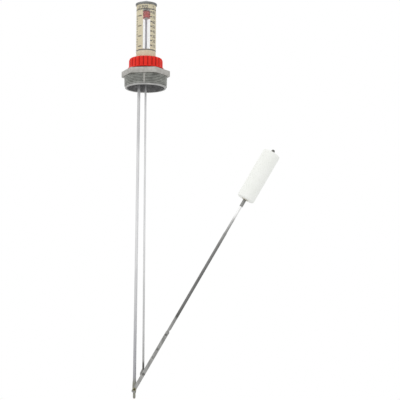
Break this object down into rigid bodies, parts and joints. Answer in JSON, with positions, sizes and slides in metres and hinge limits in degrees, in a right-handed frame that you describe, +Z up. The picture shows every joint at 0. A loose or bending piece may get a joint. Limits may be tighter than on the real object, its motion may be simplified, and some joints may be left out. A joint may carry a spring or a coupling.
{
  "type": "float arm tank level gauge",
  "caption": "Swing-arm liquid level gauge: threaded hex bung, red lock ring, clear calibrated sight glass with red indicator, strut, actuating rod and pivoting arm with a cylindrical float.",
  "frame": {"origin": "on the bung's axis, in the plane where the underside of the hexagon seats on the tank fitting", "axes": "+Z up along the sight glass; the arm swings in the XZ plane, towards +X at rest; -Y faces the reader"},
  "size_m": [0.2229, 0.064, 0.5611],
  "materials": {
    "cast_alloy": "as-cast, satin",
    "gasket_rubber": "matt",
    "nylon_white": "satin",
    "steel_rod": "drawn, bright",
    "arm_steel": "drawn, dull",
    "dark_steel": "dark, oxidised",
    "ring_red": "moulded, semi-gloss",
    "indicator_red": "moulded, semi-gloss",
    "sight_clear": "clear, polished",
    "cap_grey": "moulded, smooth",
    "scale_paper": "printed, matt",
    "float_white": "skinned foam, matt"
  },
  "bodies": {
    "bung": {"bung_body": "cast_alloy", "collar_gasket": "gasket_rubber", "rod_guide_bush": "nylon_white", "support_strut": "steel_rod", "strut_jam_nut": "steel_rod", "strut_lock_washer": "steel_rod", "strut_nut": "steel_rod", "pivot_rivet": "dark_steel", "pivot_washer_front": "steel_rod", "pivot_washer_rear": "steel_rod"},
    "ring_carrier": {"slip_washer": "nylon_white"},
    "lock_ring": {"lock_ring": "ring_red"},
    "sight_glass": {"sight_tube": "sight_clear", "sight_cap": "cap_grey", "scale_label": "scale_paper"},
    "indicator_rod": {"actuating_rod": "steel_rod", "indicator_button": "indicator_red", "indicator_nut": "steel_rod", "indicator_jam_nut": "steel_rod"},
    "float_arm": {"arm_channel": "arm_steel", "arm_rod": "arm_steel", "arm_rivet_lower": "dark_steel", "arm_rivet_upper": "dark_steel", "link_pin": "dark_steel", "link_pin_clip": "dark_steel", "float_sleeve": "dark_steel", "float_washer": "nylon_white", "float_cap_nut": "dark_steel"},
    "float": {"float_body": "float_white"}
  },
  "joints": [
    {"name": "float_arm_swing", "type": "hinge", "parent": "bung", "child": "float_arm", "pos_m": [-0.012, 0, -0.4371], "axis": [0, 1, 0], "range_deg": [0, 120]},
    {"name": "indicator_travel", "type": "slide", "parent": "bung", "child": "indicator_rod", "axis": [0, 0, 1], "range_m": [-0.0416, 0]},
    {"name": "lock_ring_lift", "type": "slide", "parent": "bung", "child": "ring_carrier", "axis": [0, 0, 1], "range_m": [0, 0.00751]},
    {"name": "lock_ring_turn", "type": "hinge", "parent": "ring_carrier", "child": "lock_ring", "pos_m": [0, 0, 0.0174], "axis": [0, 0, 1], "range_deg": [0, 1080]},
    {"name": "sight_glass_turn", "type": "hinge", "parent": "bung", "child": "sight_glass", "pos_m": [0, 0, 0.02], "axis": [0, 0, 1], "continuous": true},
    {"name": "float_spin", "type": "hinge", "parent": "float_arm", "child": "float", "pos_m": [0.1595, 0, -0.14005], "axis": [0.5, 0, 0.866], "continuous": true}
  ],
  "couplings": [
    {"joint": "indicator_travel", "follows": "float_arm_swing", "m_per_rad": -0.019848},
    {"joint": "lock_ring_lift", "follows": "lock_ring_turn", "m_per_rad": 0.00039789}
  ]
}
